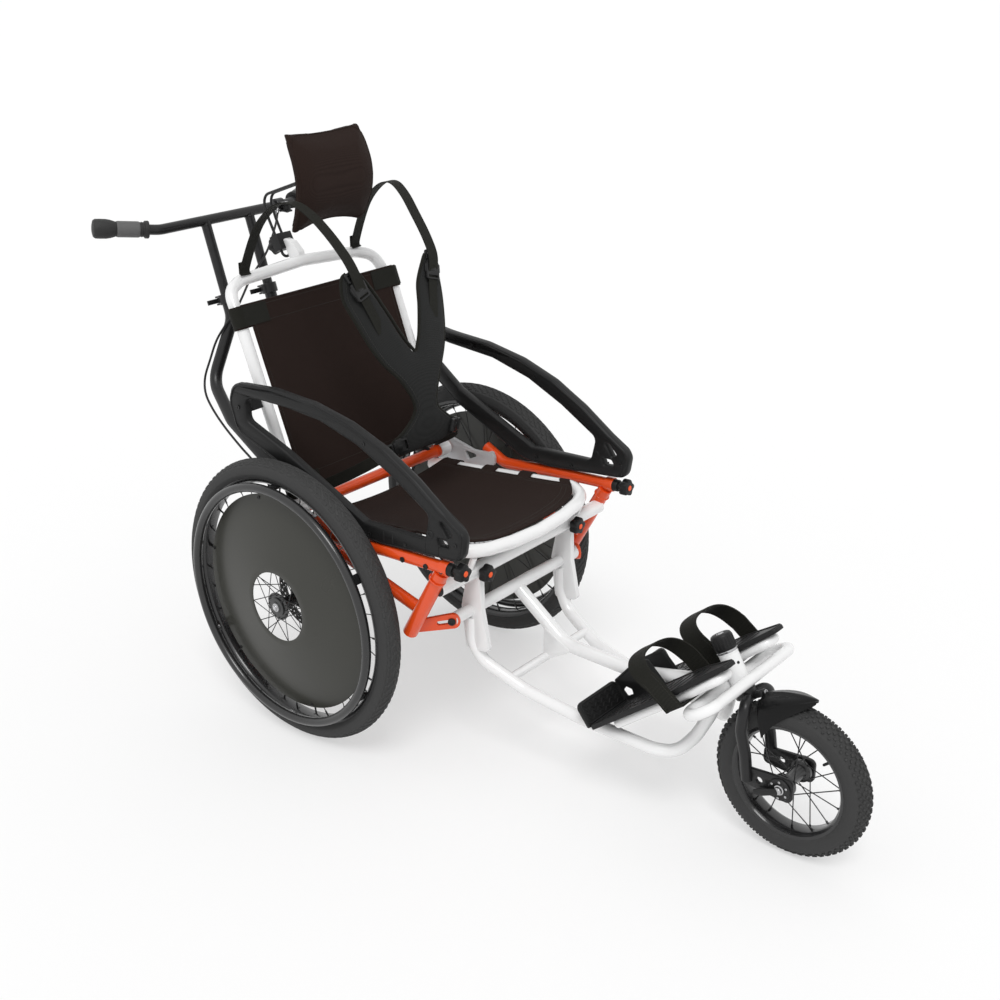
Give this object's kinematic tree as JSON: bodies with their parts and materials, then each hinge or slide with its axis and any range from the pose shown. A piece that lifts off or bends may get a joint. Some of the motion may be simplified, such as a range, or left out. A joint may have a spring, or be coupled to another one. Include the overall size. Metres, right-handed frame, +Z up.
{
  "type": "sports wheelchair",
  "caption": "Sports wheelchair with covered spoked rear wheels, a steered front wheel, sling seat, side guards, footrest, headrest, harness and a push bar with brake.",
  "frame": {"origin": "on the floor under the middle of the chair's bounding box", "axes": "+Z up, -Y is the way the chair faces, +X is the rider's left"},
  "size_m": [0.696, 1.7114, 1.2014],
  "materials": {
    "white_paint": "gloss white paint",
    "orange_paint": "satin orange paint",
    "black_paint": "satin black paint",
    "black_plastic": "fine-grained black plastic",
    "grey_plastic": "dark grey grip rubber",
    "tyre_rubber": "treaded black rubber",
    "cover_plastic": "smooth dark cover sheet",
    "aluminium": "machined aluminium",
    "sling_fabric": "very dark brown woven fabric",
    "strap_webbing": "black padded webbing",
    "pad_foam": "dark brown fabric over foam"
  },
  "bodies": {
    "chair": {"rear_frame_right": "orange_paint", "axle_plate_right": "aluminium", "side_tube_right": "white_paint", "brake_caliper_right": "black_plastic", "side_guard_right": "black_plastic", "backrest_cradle_right": "black_plastic", "push_tube_right": "black_paint", "rear_frame_left": "orange_paint", "axle_plate_left": "aluminium", "side_tube_left": "white_paint", "brake_caliper_left": "black_plastic", "side_guard_left": "black_plastic", "backrest_cradle_left": "black_plastic", "push_tube_left": "black_paint", "rear_cross_tube": "orange_paint", "upper_crossbar": "white_paint", "middle_tube": "white_paint", "head_tube": "white_paint", "seat_frame": "white_paint", "seat_sling": "sling_fabric", "brake_cable": "black_plastic"},
    "right_rear_wheel": {"rear_tyre_right": "tyre_rubber", "rear_wheel_right": "black_paint", "wheel_cover_right": "cover_plastic", "handrim_right": "black_paint"},
    "right_axle_button": {"axle_button_right": "aluminium"},
    "right_rail_knob": {"rail_knob_right": "black_plastic"},
    "right_bar_knob": {"bar_knob_right": "black_plastic"},
    "right_release_lever": {"release_lever_right": "black_plastic"},
    "left_rear_wheel": {"rear_tyre_left": "tyre_rubber", "rear_wheel_left": "black_paint", "wheel_cover_left": "cover_plastic", "handrim_left": "black_paint"},
    "left_axle_button": {"axle_button_left": "aluminium"},
    "left_rail_knob": {"rail_knob_left": "black_plastic"},
    "left_bar_knob": {"bar_knob_left": "black_plastic"},
    "left_release_lever": {"release_lever_left": "black_plastic"},
    "steering": {"fork": "black_paint", "fender": "black_plastic"},
    "steering_lock": {"steering_cap": "black_plastic"},
    "front_wheel_set": {"front_tyre": "tyre_rubber", "front_wheel": "black_paint"},
    "backrest": {"backrest_frame": "white_paint", "backrest_sling": "sling_fabric", "headrest_clamp": "black_plastic", "harness_vest": "strap_webbing", "shoulder_webbing_right": "strap_webbing", "shoulder_webbing_left": "strap_webbing"},
    "headrest_carrier": {"headrest_stem": "black_paint"},
    "headrest": {"headrest_pad": "pad_foam"},
    "headrest_lock": {"headrest_knob": "black_plastic"},
    "push_bar": {"handlebar": "black_paint", "grip_right": "grey_plastic", "grip_left": "grey_plastic"},
    "brake_hand_lever": {"brake_lever": "black_paint"},
    "footrest": {"footrest_frame": "white_paint", "footplate_right": "black_plastic", "footplate_left": "black_plastic", "foot_strap_right": "strap_webbing", "foot_strap_left": "strap_webbing"}
  },
  "joints": [
    {"name": "right_rear_wheel_spin", "type": "hinge", "parent": "chair", "child": "right_rear_wheel", "pos_m": [-0.3024, 0.30031, 0.305], "axis": [-1, 0, 0], "continuous": true},
    {"name": "right_axle_button_press", "type": "slide", "parent": "chair", "child": "right_axle_button", "axis": [1, 0, 0], "range_m": [0, 0.003], "stiffness_N_per_m": 300, "springref_m": -0.001},
    {"name": "left_rear_wheel_spin", "type": "hinge", "parent": "chair", "child": "left_rear_wheel", "pos_m": [0.3024, 0.30031, 0.305], "axis": [1, 0, 0], "continuous": true},
    {"name": "left_axle_button_press", "type": "slide", "parent": "chair", "child": "left_axle_button", "axis": [-1, 0, 0], "range_m": [0, 0.003], "stiffness_N_per_m": 300, "springref_m": -0.001},
    {"name": "steering_turn", "type": "hinge", "parent": "chair", "child": "steering", "pos_m": [0, -0.58869, 0.3], "axis": [0, 0.5255, 0.8508], "range_deg": [-30, 30]},
    {"name": "steering_lock_turn", "type": "hinge", "parent": "steering", "child": "steering_lock", "pos_m": [0, -0.54755, 0.36662], "axis": [0, 0.5255, 0.8508], "continuous": true},
    {"name": "front_wheel_spin", "type": "hinge", "parent": "steering", "child": "front_wheel_set", "pos_m": [0, -0.70069, 0.155], "axis": [1, 0, 0], "continuous": true},
    {"name": "right_rail_knob_turn", "type": "hinge", "parent": "chair", "child": "right_rail_knob", "pos_m": [-0.2585, -0.10469, 0.488], "axis": [0, -0.9978, 0.0665], "continuous": true},
    {"name": "right_bar_knob_turn", "type": "hinge", "parent": "chair", "child": "right_bar_knob", "pos_m": [-0.143, -0.08469, 0.432], "axis": [0, -1, 0], "continuous": true},
    {"name": "left_rail_knob_turn", "type": "hinge", "parent": "chair", "child": "left_rail_knob", "pos_m": [0.2585, -0.10469, 0.488], "axis": [0, -0.9978, 0.0665], "continuous": true},
    {"name": "left_bar_knob_turn", "type": "hinge", "parent": "chair", "child": "left_bar_knob", "pos_m": [0.143, -0.08469, 0.432], "axis": [0, -1, 0], "continuous": true},
    {"name": "backrest_fold", "type": "hinge", "parent": "chair", "child": "backrest", "pos_m": [0, 0.35031, 0.47], "axis": [1, 0, 0], "range_deg": [0, 25]},
    {"name": "headrest_height", "type": "slide", "parent": "backrest", "child": "headrest_carrier", "axis": [0, 0.4679, 0.8838], "range_m": [-0.03, 0.004]},
    {"name": "headrest_tilt", "type": "hinge", "parent": "headrest_carrier", "child": "headrest", "pos_m": [0, 0.45761, 1.109], "axis": [1, 0, 0], "range_deg": [-20, 20]},
    {"name": "headrest_lock_turn", "type": "hinge", "parent": "backrest", "child": "headrest_lock", "pos_m": [0, 0.61056, 0.94523], "axis": [0, 0.8838, -0.4679], "continuous": true},
    {"name": "push_bar_height", "type": "slide", "parent": "chair", "child": "push_bar", "axis": [0, 0.2997, 0.954], "range_m": [0, 0.03], "deforming": ["brake_cable"]},
    {"name": "right_release_lever_turn", "type": "hinge", "parent": "chair", "child": "right_release_lever", "pos_m": [-0.061, 0.75382, 0.80871], "axis": [0, 0.2997, 0.954], "range_deg": [-120, 0]},
    {"name": "left_release_lever_turn", "type": "hinge", "parent": "chair", "child": "left_release_lever", "pos_m": [0.061, 0.75382, 0.80871], "axis": [0, 0.2997, 0.954], "range_deg": [-120, 0]},
    {"name": "brake_hand_lever_pull", "type": "hinge", "parent": "push_bar", "child": "brake_hand_lever", "pos_m": [0.15, 0.75131, 0.983], "axis": [0, 0, 1], "range_deg": [0, 9], "stiffness_Nm_per_rad": 1.5, "springref_deg": -2.86},
    {"name": "footrest_reach", "type": "slide", "parent": "chair", "child": "footrest", "axis": [0, 0.9685, -0.2489], "range_m": [0, 0.012]}
  ]
}
